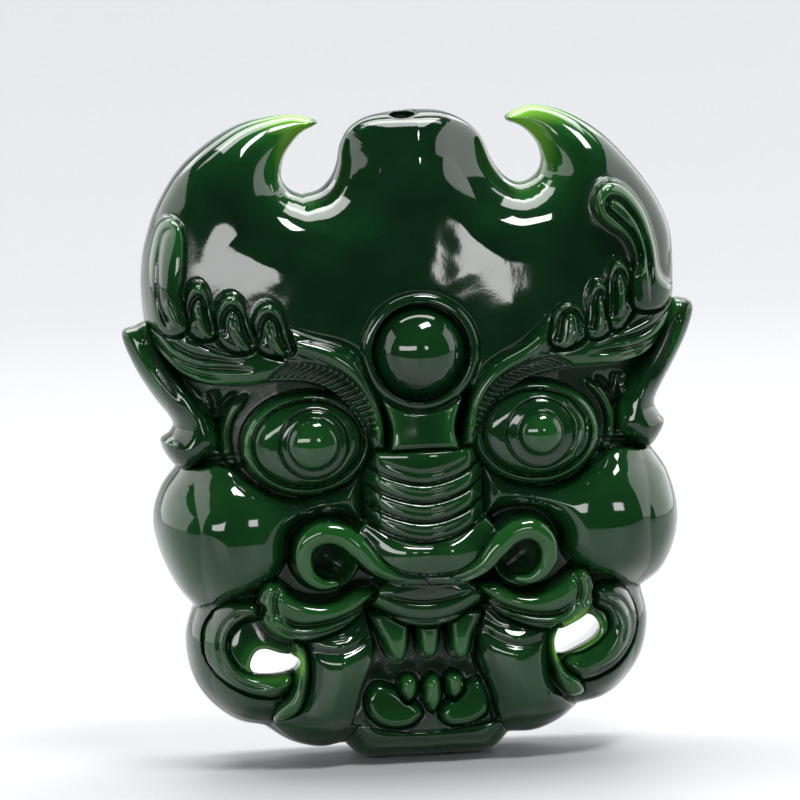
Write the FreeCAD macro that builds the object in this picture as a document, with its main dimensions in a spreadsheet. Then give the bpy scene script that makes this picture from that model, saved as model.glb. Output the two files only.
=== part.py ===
"""Carved jade beast mask: a hand piece that stands on its chin and can also hang from a cord.

Frame: +X to the viewer's right, the face looks along -Y, +Z up.  The origin is the middle of the
flat under the chin.  Every carved feature is a solid of its own that meets its neighbours face to
face.  "left" and "right" are the viewer's.  Outlines are (x, z) points on a piece 60 mm tall.
"""
import FreeCAD, Part
import math
import os

NOMINAL_HEIGHT = 60.0
TOLERANCE = 1e-4

# Every front_ value is how far a feature reaches in front of the origin plane.
DIMENSIONS = {
    "total_height": 60.0,
    "half_width": 26.4,
    "back_depth": 9.5,
    "layer_depth": 1.0,
    "through_front": 14.0,
    "front_horn": 5.2,
    "front_crown": 5.6,
    "front_forehead": 6.2,
    "front_rim": 6.9,
    "front_pearl": 9.1,
    "front_brow": 7.5,
    "front_curl": 6.8,
    "front_saddle": 7.6,
    "front_bridge": 8.2,
    "front_wrinkle": 8.7,
    "front_tip": 9.5,
    "front_scroll": 8.4,
    "front_eye_rim": 6.6,
    "front_eyeball": 7.6,
    "front_iris": 8.1,
    "front_cheek": 7.0,
    "front_lip": 7.4,
    "front_roll": 7.0,
    "front_mouth": 3.8,
    "front_teeth": 6.4,
    "front_inner_jaw": 6.0,
    "front_outer_jaw": 4.4,
    "front_tusk": 5.8,
    "front_chin": 5.2,
    "front_ear": 3.4,
    "front_socket": 4.2,
    "ear_back_depth": 3.6,
    "pearl_radius": 4.3,
    "pearl_rim_radius": 5.4,
    "pearl_height": 38.3,
    "eye_spacing": 10.9,
    "eye_height": 30.3,
    "eyeball_half_width": 5.0,
    "eyeball_half_height": 4.0,
    "eye_rim_half_width": 6.0,
    "eye_rim_half_height": 4.9,
    "iris_radius": 2.8,
    "dome_rise": 2.4,
    "scroll_spacing": 8.7,
    "scroll_height": 19.4,
    "scroll_radius": 3.8,
    "scroll_pit_radius": 1.3,
    "scroll_pit_depth": 2.6,
    "bore_radius": 1.1,
    "bore_top_y": 0.5,
    "bore_back_z": 54.6,
    "piercing_radius": 1.3,
}

# Corners that several outlines share.
NOTCH = (9.9, 52.7)
FLANK = (24.4, 42.0)
EAR_ROOT = (22.0, 28.2)
CHEEK_JAW = (21.0, 14.9)
LOBE_SPLIT = (14.6, 3.7)
CHIN_SIDE = (7.4, 1.8)
FOOT_CORNER = (5.6, 0.0)

doc = FreeCAD.newDocument("beast_mask")
dims = doc.addObject("Spreadsheet::Sheet", "dims")
for row, (alias, number) in enumerate(DIMENSIONS.items(), start=1):
    dims.set(f"A{row}", alias)
    dims.set(f"B{row}", str(number))
    dims.setAlias(f"B{row}", alias)
doc.recompute()

SCALE = dims.total_height / NOMINAL_HEIGHT
nodes = []


# ---- outlines ------------------------------------------------------------------------------------

def twin(points):
    """The same points on the other side of the mid-plane, in the reverse order."""
    return [(-x, z) for x, z in reversed(points)]


def chain(points):
    """Straight runs from point to point."""
    return [[start, end] for start, end in zip(points, points[1:])]


def empty_outline(name, plane, x="0", z="0"):
    """A sketch that faces the viewer, with its origin at x, z and y = plane, all expressions."""
    sketch = doc.addObject("Sketcher::SketchObject", name + "_outline")
    sketch.Placement = FreeCAD.Placement(
        FreeCAD.Vector(), FreeCAD.Rotation(FreeCAD.Vector(1, 0, 0), 90))
    sketch.setExpression("Placement.Base.x", x)
    sketch.setExpression("Placement.Base.y", plane)
    sketch.setExpression("Placement.Base.z", z)
    return sketch


def flat_points(points):
    return [FreeCAD.Vector(x * SCALE, z * SCALE, 0) for x, z in points]


def outline(name, runs, plane="dims.layer_depth"):
    """A closed outline of runs end to end: two points make a line, three an arc, more a spline."""
    sketch = empty_outline(name, plane)
    for run in runs:
        points = flat_points(run)
        if len(points) == 2:
            curve = Part.LineSegment(*points)
        elif len(points) == 3:
            curve = Part.Arc(*points)
        else:
            curve = Part.BSplineCurve()
            curve.interpolate(points)
        sketch.addGeometry(curve, False)
    return sketch


def smooth_outline(name, points, plane="dims.layer_depth"):
    """A closed outline without corners."""
    sketch = empty_outline(name, plane)
    stops = flat_points(points)
    heading = (stops[1] - stops[-1]) * 0.5
    curve = Part.BSplineCurve()
    curve.interpolate(Points=stops + stops[:1], InitialTangent=heading, FinalTangent=heading)
    sketch.addGeometry(curve, False)
    return sketch


def oval_outline(name, half_width, half_height, x, z, plane="dims.layer_depth"):
    """An oval, or a circle where its two half sizes are the same dimension."""
    sketch = empty_outline(name, plane, x, z)
    wide, tall = getattr(dims, half_width), getattr(dims, half_height)
    if half_width == half_height:
        curve = Part.Circle(FreeCAD.Vector(), FreeCAD.Vector(0, 0, 1), wide)
    else:
        curve = Part.Ellipse(FreeCAD.Vector(wide, 0, 0), FreeCAD.Vector(0, tall, 0), FreeCAD.Vector())
    sketch.addGeometry(curve, False)
    return sketch


def finger(start, end, radius):
    """The runs of a straight finger with two round ends."""
    dx, dz = end[0] - start[0], end[1] - start[1]
    length = math.hypot(dx, dz)
    ax, az = dx / length * radius, dz / length * radius
    low_right, low_left = (start[0] + az, start[1] - ax), (start[0] - az, start[1] + ax)
    high_right, high_left = (end[0] + az, end[1] - ax), (end[0] - az, end[1] + ax)
    top, bottom = (end[0] + ax, end[1] + az), (start[0] - ax, start[1] - az)
    return [[low_right, high_right], [high_right, top, high_left],
            [high_left, low_left], [low_left, bottom, low_right]]


def bow(centre, radius, half_width, start, end):
    """The runs of a band bent round a centre between two angles in degrees, with round ends."""
    def at(distance, angle):
        turn = math.radians(angle)
        return (centre[0] + distance * math.cos(turn), centre[1] + distance * math.sin(turn))

    def cap(angle, bulge):
        turn = math.radians(angle)
        x, z = at(radius, angle)
        return (x - bulge * math.sin(turn), z + bulge * math.cos(turn))

    inner, outer, middle = radius - half_width, radius + half_width, (start + end) / 2
    return [[at(outer, start), at(outer, middle), at(outer, end)],
            [at(outer, end), cap(end, half_width), at(inner, end)],
            [at(inner, end), at(inner, middle), at(inner, start)],
            [at(inner, start), cap(start, -half_width), at(outer, start)]]


# ---- solids --------------------------------------------------------------------------------------

def prism(name, sketch, length):
    """The outline pushed towards the viewer by a length given as an expression."""
    solid = doc.addObject("Part::Extrusion", name)
    solid.Base = sketch
    solid.DirMode = "Normal"
    solid.Solid = True
    solid.setExpression("LengthFwd", length)
    return solid


def rounded(name, base, radius, y_plane):
    """The base with the edges of its face at y = y_plane rounded."""
    doc.recompute()
    edges = []
    for index, edge in enumerate(base.Shape.Edges, start=1):
        box = edge.BoundBox
        if abs(box.YMin - y_plane) < TOLERANCE and abs(box.YMax - y_plane) < TOLERANCE:
            edges.append((index, radius, radius))
    fillet = doc.addObject("Part::Fillet", name + "_rounded")
    fillet.Base = base
    fillet.Edges = edges
    return fillet


def union(name, parts):
    if len(parts) == 1:
        return parts[0]
    fuse = doc.addObject("Part::MultiFuse", name)
    fuse.Shapes = parts
    return fuse


def without(name, base, tools):
    """The base with the room for its neighbours cut away."""
    cut = doc.addObject("Part::Cut", name + "_cut")
    cut.Base = base
    cut.Tool = union(name + "_room", tools)
    return cut


def mirror(name, source):
    other = doc.addObject("Part::Mirroring", name)
    other.Source = source
    other.Normal = FreeCAD.Vector(1, 0, 0)
    return other


def seat(name, sketch):
    """The room a feature needs in its neighbours: its outline, cut right out to the front."""
    return prism(name + "_seat", sketch, "dims.through_front + dims.layer_depth")


def both(solids):
    """The solids and their twins on the other side."""
    return solids + [mirror(solid.Name + "_twin", solid) for solid in solids]


def pad(name, sketch, front, radius=0):
    """A raised pad on the layer plane, with a rounded front edge where a radius is given."""
    block = prism(name + "_pad", sketch, f"dims.{front} + dims.layer_depth")
    return rounded(name, block, radius * SCALE, -getattr(dims, front)) if radius else block


def dome(name, x, y, z, half_width, rise, half_height):
    """A whole ellipsoid.  All six are expressions."""
    solid = doc.addObject("Part::Ellipsoid", name + "_dome")
    solid.setExpression("Radius1", half_height)
    solid.setExpression("Radius2", half_width)
    solid.setExpression("Radius3", rise)
    solid.setExpression("Placement.Base.x", x)
    solid.setExpression("Placement.Base.y", y)
    solid.setExpression("Placement.Base.z", z)
    return solid


def within(name, base, limit):
    """What the base and a limiting solid have in common."""
    common = doc.addObject("Part::Common", name + "_within")
    common.Base = base
    common.Tool = limit
    return common


def peg(name, sketch, half_width, half_height, x, z, front, rise):
    """An oval wall on the layer plane that ends in a dome."""
    wall = prism(name + "_wall", sketch, f"dims.layer_depth + dims.{front} - dims.{rise}")
    cap = dome(name, x, f"dims.{rise} - dims.{front}", z, f"dims.{half_width}", f"dims.{rise}",
               f"dims.{half_height}")
    return union(name + "_peg", [wall, cap])


def add_node(name, solid):
    solid.Label = name
    if solid.Label != name:
        raise ValueError(name + " is the label of another object")
    nodes.append(solid)


def add_pair(name, solid):
    add_node(name + "_right", solid)
    add_node(name + "_left", mirror(name + "_left", solid))


# ---- the suspension bore and the piercings -------------------------------------------------------

def suspension_bore():
    """A straight drilling from the top of the crown down to the back."""
    bore = doc.addObject("Part::Cylinder", "suspension_bore")
    drop = "(dims.total_height - dims.bore_back_z)"
    run = "(dims.back_depth - dims.bore_top_y)"
    bore.setExpression("Radius", "dims.bore_radius")
    bore.setExpression("Height", f"2 * sqrt({drop}^2 + {run}^2)")
    bore.Placement.Rotation = FreeCAD.Rotation(FreeCAD.Vector(1, 0, 0), 0)
    bore.setExpression("Placement.Rotation.Angle", f"atan2({run}; {drop})")
    bore.setExpression("Placement.Base.x", "0")
    bore.setExpression("Placement.Base.y", f"dims.bore_top_y + 1.5 * {run}")
    bore.setExpression("Placement.Base.z", f"dims.total_height - 1.5 * {drop}")
    return bore


PIERCING_LINE = ((13.4, 10.2), (14.8, 11.0))


def jaw_piercing():
    """The slot that goes right through inside each tusk curl."""
    slot_outline = outline("piercing", finger(*PIERCING_LINE, dims.piercing_radius),
                           "dims.back_depth + 1")
    return prism("piercing", slot_outline, "dims.through_front + dims.back_depth")


bore = suspension_bore()
piercing = jaw_piercing()

# ---- pearl and eyes ------------------------------------------------------------------------------

PEARL_AT = ("0", "dims.pearl_height")
pearl_outline = oval_outline("pearl", "pearl_radius", "pearl_radius", *PEARL_AT)
pearl_seat = seat("pearl", pearl_outline)
add_node("forehead_pearl", peg("pearl", pearl_outline, "pearl_radius", "pearl_radius", *PEARL_AT,
                               "front_pearl", "pearl_radius"))

rim_outline = oval_outline("pearl_rim", "pearl_rim_radius", "pearl_rim_radius", *PEARL_AT)
rim_seat = seat("pearl_rim", rim_outline)
rim = without("pearl_rim", pad("pearl_rim", rim_outline, "front_rim", 0.5), [pearl_seat])
add_node("pearl_rim", rim)

EYE_AT = ("dims.eye_spacing", "dims.eye_height")
iris_outline = oval_outline("iris", "iris_radius", "iris_radius", *EYE_AT)
iris_seat = seat("iris", iris_outline)
add_pair("iris", peg("iris", iris_outline, "iris_radius", "iris_radius", *EYE_AT,
                     "front_iris", "dome_rise"))

ball_outline = oval_outline("eyeball", "eyeball_half_width", "eyeball_half_height", *EYE_AT)
ball_seat = seat("eyeball", ball_outline)
ball = peg("eyeball", ball_outline, "eyeball_half_width", "eyeball_half_height", *EYE_AT,
           "front_eyeball", "dome_rise")
add_pair("eyeball", without("eyeball", ball, [iris_seat]))

lid_outline = oval_outline("eye_rim", "eye_rim_half_width", "eye_rim_half_height", *EYE_AT)
lid_seat = seat("eye_rim", lid_outline)

# ---- nose ----------------------------------------------------------------------------------------

BRIDGE_HALF_WIDTH = 5.5
NOSE_ROOT_Z = 29.2
WRINKLE_LOWS = (26.2, 24.4, 22.6, 20.9)    # lowest points of the arcs between the nose rolls
WRINKLE_SAG = 1.8                          # how far the ends of each arc turn up


def nose_arc(low):
    """One wrinkle, left to right."""
    return [(-BRIDGE_HALF_WIDTH, low + WRINKLE_SAG), (0, low), (BRIDGE_HALF_WIDTH, low + WRINKLE_SAG)]


def nose_roll(name, over, low, front):
    """The roll between the line over it and the wrinkle under it."""
    under = nose_arc(low)
    sketch = outline(name, [over, [over[-1], under[-1]], under[::-1], [under[0], over[0]]])
    return pad(name, sketch, front, 0.5)


bridge_top = [(-BRIDGE_HALF_WIDTH, NOSE_ROOT_Z), (BRIDGE_HALF_WIDTH, NOSE_ROOT_Z)]
add_node("nose_bridge", nose_roll("nose_bridge", bridge_top, WRINKLE_LOWS[0], "front_bridge"))
for number, (high, low) in enumerate(zip(WRINKLE_LOWS, WRINKLE_LOWS[1:]), start=1):
    name = f"nose_wrinkle_{number}"
    add_node(name, nose_roll(name, nose_arc(high), low, "front_wrinkle"))

tip_side = [(BRIDGE_HALF_WIDTH, WRINKLE_LOWS[-1] + WRINKLE_SAG), (5.2, 19.6), (3.1, 17.4)]
tip_runs = [nose_arc(WRINKLE_LOWS[-1]), tip_side, [tip_side[-1], (1.4, 17.5), (0, 18.2)],
            [(0, 18.2), (-1.4, 17.5), (-3.1, 17.4)], twin(tip_side)]
add_node("nose_tip", pad("nose_tip", outline("nose_tip", tip_runs), "front_tip", 0.7))

bridge_side = [(BRIDGE_HALF_WIDTH, NOSE_ROOT_Z), tip_side[0]]
nose_seat = seat("nose", outline("nose", [bridge_top, bridge_side] + tip_runs[1:] + [twin(bridge_side)]))

lid = pad("eye_rim", lid_outline, "front_eye_rim", 0.4)
add_pair("eye_rim", without("eye_rim", lid, [ball_seat, nose_seat]))

SADDLE = [(3.1, 29.2), (3.6, 33.8), (-3.6, 33.8), (-3.1, 29.2)]
saddle_outline = outline("nose_saddle", chain(SADDLE + SADDLE[:1]))
saddle_seat = seat("nose_saddle", saddle_outline)
saddle = pad("nose_saddle", saddle_outline, "front_saddle", 0.6)
add_node("nose_saddle", without("nose_saddle", saddle, [rim_seat]))

SCROLL_AT = ("dims.scroll_spacing", "dims.scroll_height")
scroll_outline = oval_outline("scroll", "scroll_radius", "scroll_radius", *SCROLL_AT)
scroll_seat = seat("scroll", scroll_outline)
pit_outline = oval_outline("scroll_pit", "scroll_pit_radius", "scroll_pit_radius", *SCROLL_AT,
                           "dims.scroll_pit_depth - dims.front_scroll")
pit = prism("scroll_pit", pit_outline, "dims.scroll_pit_depth + 1")
add_pair("nostril_scroll", without("scroll", pad("scroll", scroll_outline, "front_scroll", 1.6),
                                   [pit, nose_seat]))

# ---- mouth ---------------------------------------------------------------------------------------

LIP_END = (4.9, 15.5)
LIP_FAR_END = (-LIP_END[0], LIP_END[1])
lip_outline = outline("lip", [[LIP_END, (0, 18.4), LIP_FAR_END], [LIP_FAR_END, (0, 13.7), LIP_END]])
lip_seat = seat("lip", lip_outline)
lip = pad("lip", lip_outline, "front_lip", 0.6)
add_node("upper_lip", without("lip", lip, [nose_seat] + both([scroll_seat])))

roll_outline = smooth_outline("lip_roll", [LIP_END, (9.5, 15.9), (13.6, 16.6), (14.7, 14.8), (13.4, 13.1),
                                           (10.2, 12.4), (7.2, 13.2)])
roll_seat = seat("lip_roll", roll_outline)
add_pair("lip_roll", without("lip_roll", pad("lip_roll", roll_outline, "front_roll", 0.5),
                             [lip_seat, scroll_seat, nose_seat]))
lip_seats = [lip_seat] + both([roll_seat])

MOUTH_SIDE = [(5.2, 14.8), (5.2, 9.0), (5.9, 5.0), (6.2, 3.4)]
mouth_foot = [MOUTH_SIDE[-1], (0, 2.9), twin(MOUTH_SIDE)[0]]
mouth_top = [twin(MOUTH_SIDE)[-1], MOUTH_SIDE[0]]
mouth_outline = outline("mouth", [MOUTH_SIDE, mouth_foot, twin(MOUTH_SIDE), mouth_top])
floor = pad("mouth", mouth_outline, "front_mouth")
floor_neighbours = [lip_seat, nose_seat] + both([roll_seat, scroll_seat])
add_node("mouth_floor", without("mouth", floor, floor_neighbours))


def tooth(name, x, z, half_width, half_height):
    """A rounded tooth that stands on the mouth floor and fits under the lips."""
    body = dome(name, str(x * SCALE), "-1 * dims.front_mouth", str(z * SCALE), str(half_width * SCALE),
                "dims.front_teeth - dims.front_mouth", str(half_height * SCALE))
    return without(name, body, [floor] + lip_seats)


add_pair("upper_fang", tooth("upper_fang", 3.1, 12.7, 1.45, 3.1))
add_node("upper_front_tooth", tooth("upper_front_tooth", 0, 12.7, 1.3, 2.7))
add_node("lower_front_tooth", tooth("lower_front_tooth", 0, 6.5, 1.0, 1.8))
add_pair("lower_side_tooth", tooth("lower_side_tooth", 2.3, 7.8, 1.0, 1.0))
add_pair("lower_gum", tooth("lower_gum", 3.4, 5.0, 1.9, 1.5))

# ---- brows, curls and forehead -------------------------------------------------------------------

BROW_ROOT = [(4.7, 28.0), (3.0, 28.0)]
brow_lower = [FLANK, (23.2, 38.9), (20.9, 36.8), (17.5, 35.9), (13.5, 36.3), (9.6, 35.9), (7.0, 34.1),
              (5.5, 31.8), BROW_ROOT[0]]
brow_upper = [BROW_ROOT[1], (4.1, 33.4), (5.4, 36.2), (8.0, 38.7), (12.0, 39.8), (17.0, 39.4), (21.0, 40.8),
              (22.9, 43.0), FLANK]
brow_outline = outline("brow", [brow_lower, BROW_ROOT, brow_upper])
brow_seat = seat("brow", brow_outline)
brow_neighbours = [rim_seat, saddle_seat, nose_seat, lid_seat]
add_pair("brow", without("brow", pad("brow", brow_outline, "front_brow", 0.5), brow_neighbours))

# Each curl: foot, top and half width, from the inner short one out to the tall one.
CURLS = (((14.4, 40.0), (13.7, 42.0), 1.5), ((17.6, 40.4), (16.9, 42.8), 1.5),
         ((20.4, 41.4), (19.7, 44.0), 1.35), ((22.4, 42.4), (21.4, 49.8), 1.25))
curl_seats = []
for number, (foot, top, half_width) in enumerate(CURLS, start=1):
    name = f"brow_curl_{number}"
    curl_outline = outline(name, finger(foot, top, half_width))
    add_pair(name, without(name, pad(name, curl_outline, "front_curl", 0.7), [brow_seat] + curl_seats))
    curl_seats.append(seat(name, curl_outline))

# The forehead ends under the middle of each brow.
forehead_foot = [FLANK, (21.5, 39.0), (17.5, 37.6), (12.0, 38.0), (8.0, 36.6), (5.2, 33.6), (4.2, 31.0)]
HEAD_TOP = twin([NOTCH, FLANK]) + [NOTCH, FLANK]
forehead_runs = [forehead_foot, [forehead_foot[-1], twin(forehead_foot)[0]], twin(forehead_foot)]
forehead_runs += chain(HEAD_TOP)
forehead_dome = dome("forehead", "0", "dims.layer_depth", "dims.pearl_height", "1.2 * dims.half_width",
                     "dims.front_forehead + dims.layer_depth", "0.45 * dims.total_height")
forehead = within("forehead", pad("forehead", outline("forehead", forehead_runs), "front_forehead"),
                  forehead_dome)
add_node("forehead", without("forehead", forehead,
                             [rim_seat, saddle_seat] + both([brow_seat] + curl_seats)))

# ---- horns and crown, through the whole depth ----------------------------------------------------

# The rounding of the whole stone towards its rim.
stone_form = dome("stone_form", "0", "0.225 * dims.back_depth", "0.5 * dims.total_height",
                  "1.22 * dims.half_width", "1.16 * dims.back_depth", "0.61 * dims.total_height")

HORN_TIP = [(9.6, 58.3), (8.7, 58.9), (9.4, 59.6)]
horn_outer = [HORN_TIP[-1], (11.9, 59.95), (15.4, 59.2), (19.1, 56.7), (22.0, 53.3), (23.9, 49.0),
              (24.6, 45.5), FLANK]
horn_runs = [horn_outer, [FLANK, NOTCH], [NOTCH, (12.2, 55.3), HORN_TIP[0]], HORN_TIP]
horn_outline = outline("horn", horn_runs, "dims.back_depth")
horn_block = prism("horn_block", horn_outline, "dims.back_depth + dims.front_horn")
add_pair("horn", without("horn", within("horn", horn_block, stone_form), [brow_seat] + curl_seats))

crown_side = [NOTCH, (8.4, 54.6), (7.2, 57.2), (5.0, 59.1), (2.6, 59.9), (0, 60.0)]
crown_runs = [crown_side, twin(crown_side), [twin([NOTCH])[0], NOTCH]]
crown_block = prism("crown_block", outline("crown", crown_runs, "dims.back_depth"),
                    "dims.back_depth + dims.front_crown")
add_node("crown", without("crown", within("crown", crown_block, stone_form), [bore]))

# ---- sides and jaw -------------------------------------------------------------------------------

flank_edge = [FLANK, (23.6, 38.5), (22.4, 35.0), (21.8, 31.5), EAR_ROOT]
cheek_edge = [EAR_ROOT, (23.7, 25.4), (24.3, 22.0), (23.8, 18.8), (22.5, 16.5), CHEEK_JAW]
outer_lobe_edge = [CHEEK_JAW, (21.5, 11.6), (20.7, 8.2), (18.4, 5.2), LOBE_SPLIT]
inner_lobe_edge = [LOBE_SPLIT, (12.2, 2.2), (9.8, 1.5), CHIN_SIDE]
chin_edge = [CHIN_SIDE, (6.6, 0.7), FOOT_CORNER]
FOOT = [FOOT_CORNER, (-FOOT_CORNER[0], FOOT_CORNER[1])]
TUSK_ROOT = (13.0, 13.4)
stem_line = [TUSK_ROOT, (11.5, 11.6), (11.3, 9.0), (12.0, 6.4), LOBE_SPLIT]

TUSK_CENTRE = (15.6, 11.4)
tusk_outline = outline("tusk_curl", bow(TUSK_CENTRE, 3.4, 0.95, -115, 85))
tusk_seat = seat("tusk_curl", tusk_outline)
add_pair("tusk_curl", without("tusk_curl", pad("tusk_curl", tusk_outline, "front_tusk", 0.5), [roll_seat]))

stem_outline = smooth_outline("tusk_stem", [(12.3, 9.6), (12.9, 7.4), (13.7, 5.4), (12.9, 4.9), (11.5, 6.8),
                                            (11.0, 9.2), (11.5, 11.9)])
stem_seat = seat("tusk_stem", stem_outline)
add_pair("tusk_stem", without("tusk_stem", pad("tusk_stem", stem_outline, "front_tusk"),
                              [piercing, tusk_seat, roll_seat]))

outer_runs = [outer_lobe_edge, stem_line[::-1], [TUSK_ROOT, (16.8, 16.4), CHEEK_JAW]]
outer_jaw = pad("outer_jaw", outline("outer_jaw", outer_runs), "front_outer_jaw", 1.0)
add_pair("outer_jaw_lobe", without("outer_jaw", outer_jaw, [tusk_seat, stem_seat, roll_seat, piercing]))

inner_top = [(5.2, 14.8), (9.0, 14.6), TUSK_ROOT]
inner_runs = [inner_lobe_edge, [CHIN_SIDE, MOUTH_SIDE[-1]], MOUTH_SIDE[::-1], inner_top, stem_line]
inner_jaw = pad("inner_jaw", outline("inner_jaw", inner_runs), "front_inner_jaw")
add_pair("inner_jaw_lobe", without("inner_jaw", inner_jaw, [stem_seat, roll_seat, lip_seat]))

chin_slope = [MOUTH_SIDE[-1], CHIN_SIDE]
chin_runs = [chin_edge, FOOT, twin(chin_edge), twin(chin_slope), mouth_foot[::-1], chin_slope]
add_node("chin", pad("chin", outline("chin_front", chin_runs), "front_chin"))

SOCKET_FOOT = [EAR_ROOT, (21.0, 28.25), (14.0, 28.6), (5.2, 28.6)]
cheek_inner = [(5.2, 28.6), (5.2, 22.0), (8.0, 16.5), TUSK_ROOT]
cheek_runs = [cheek_edge, [CHEEK_JAW, (16.8, 16.4), TUSK_ROOT]] + chain(cheek_inner[::-1])
cheek_runs += chain(SOCKET_FOOT[::-1])
cheek_dome = dome("cheek", "0.62 * dims.half_width", "dims.layer_depth", "dims.total_height * 0.37",
                  "0.48 * dims.half_width", "dims.front_cheek + dims.layer_depth", "0.2 * dims.total_height")
cheek = within("cheek", pad("cheek", outline("cheek", cheek_runs), "front_cheek"), cheek_dome)
cheek_neighbours = [lid_seat, nose_seat, scroll_seat, lip_seat, roll_seat, tusk_seat]
add_pair("cheek", without("cheek", cheek, cheek_neighbours))

ear_points = [(19.2, 33.8), (21.6, 37.0), (23.4, 39.8), (24.4, 41.7), (26.1, 41.0), (25.0, 37.2),
              (22.7, 32.6), (23.5, 30.7), (22.6, 28.9), (19.6, 29.2), (18.3, 31.0)]
ear_outline = smooth_outline("ear", ear_points, "dims.ear_back_depth")
ear_block = prism("ear_block", ear_outline, "dims.ear_back_depth + dims.front_ear")

# ---- core ----------------------------------------------------------------------------------------

side = [flank_edge, cheek_edge, outer_lobe_edge, inner_lobe_edge, chin_edge]
core_runs = side + [FOOT] + [twin(run) for run in reversed(side)]
core_runs += chain(HEAD_TOP)
core_outline = outline("core", core_runs, "dims.back_depth")
core_block = prism("core_block", core_outline, "dims.back_depth - dims.layer_depth")
add_node("back_core", without("core", within("core", core_block, stone_form), both([piercing])))

add_pair("ear", without("ear", ear_block, [lid_seat, brow_seat, core_block, horn_block]))

# The ground round each eye runs in under the brow and the ear, which are cut out of it.
socket_corners = SOCKET_FOOT[1:] + [(8.0, 36.8), (17.0, 37.4), (22.8, 40.0), (22.4, 37.0), SOCKET_FOOT[1]]
socket = pad("eye_socket", outline("eye_socket", chain(socket_corners)), "front_socket")
socket_neighbours = [lid_seat, brow_seat, seat("ear", ear_outline), nose_seat]
add_pair("eye_socket", without("eye_socket", socket, socket_neighbours))

# ---- check and write -----------------------------------------------------------------------------

doc.recompute()
for item in doc.Objects:
    if "Invalid" in item.State or "Error" in item.State:
        raise RuntimeError(f"{item.Name} did not compute: {item.State}")

os.makedirs("parts", exist_ok=True)
for node in nodes:
    shape = node.Shape
    if shape.isNull() or not shape.isValid() or len(shape.Solids) != 1:
        raise RuntimeError(f"{node.Label} is not one valid solid")
    shape.exportStep(f"parts/{node.Label}.step")
    print(f"{node.Label:24s} {shape.Volume:9.1f} mm3")
print(len(nodes), "nodes")
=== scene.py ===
import bpy
import math
import numpy as np
import openvdb
from mathutils import Matrix, Vector


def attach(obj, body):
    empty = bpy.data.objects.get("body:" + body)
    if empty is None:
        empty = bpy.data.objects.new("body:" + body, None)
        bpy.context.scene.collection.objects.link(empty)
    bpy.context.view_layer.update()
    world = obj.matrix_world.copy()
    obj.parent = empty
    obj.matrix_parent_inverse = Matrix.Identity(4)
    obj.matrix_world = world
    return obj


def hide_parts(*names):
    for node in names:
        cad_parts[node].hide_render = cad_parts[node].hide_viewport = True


# Lengths are in millimetres until a mesh is made.  x is to the viewer's right, z is up, and a
# height is how far the carved face reaches towards the viewer, along -y.

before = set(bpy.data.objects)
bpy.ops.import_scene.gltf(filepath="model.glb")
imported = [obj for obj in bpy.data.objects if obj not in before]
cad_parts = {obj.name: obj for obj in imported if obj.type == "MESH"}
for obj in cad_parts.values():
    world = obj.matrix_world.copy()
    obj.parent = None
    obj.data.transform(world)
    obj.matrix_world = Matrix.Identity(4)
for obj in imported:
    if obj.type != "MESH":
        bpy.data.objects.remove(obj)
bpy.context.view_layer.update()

GRID = 0.08
XS = np.arange(-28.0, 28.01, GRID)
ZS = np.arange(-1.6, 61.8, GRID)
X, Z = np.meshgrid(XS, ZS, indexing="ij")
MID = 2.0          # the plane where the stone is widest
BACK = 9.5         # the flat back
COARSE = 1.0
BACK_ROUND = 3.0   # most that the edge of the back is rounded
NORMAL_STEP = 0.06


# ---- drawing on the grid -------------------------------------------------------------------------

def smooth(t):
    t = np.clip(t, 0.0, 1.0)
    return t * t * (3.0 - 2.0 * t)


def arch(t):
    """A quarter circle: 0 at 0 and 1 from 1 on."""
    t = np.clip(t, 0.0, 1.0)
    return np.sqrt(1.0 - (1.0 - t) ** 2)


def spline(points, closed=False, step=0.25):
    """Close points on a smooth curve.  A list of such lists is joined with corners between."""
    if isinstance(points[0][0], (list, tuple)):
        return np.vstack([spline(run, False, step)[:-1] for run in points] + [[points[-1][-1]]])
    stops = np.array(points, float)
    if closed:
        ends = np.vstack([stops[-1], stops, stops[0], stops[1]])
    else:
        ends = np.vstack([2 * stops[0] - stops[1], stops, 2 * stops[-1] - stops[-2]])
    line = []
    for a, b, c, d in zip(ends, ends[1:], ends[2:], ends[3:]):
        count = max(2, int(np.hypot(*(c - b)) / step))
        t = (np.arange(count) / count)[:, None]
        line.append(b + 0.5 * t * (c - a + t * (2 * a - 5 * b + 4 * c - d + t * (3 * (b - c) + d - a))))
    return np.vstack(line + [stops[:1] if closed else stops[-1:]])


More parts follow.
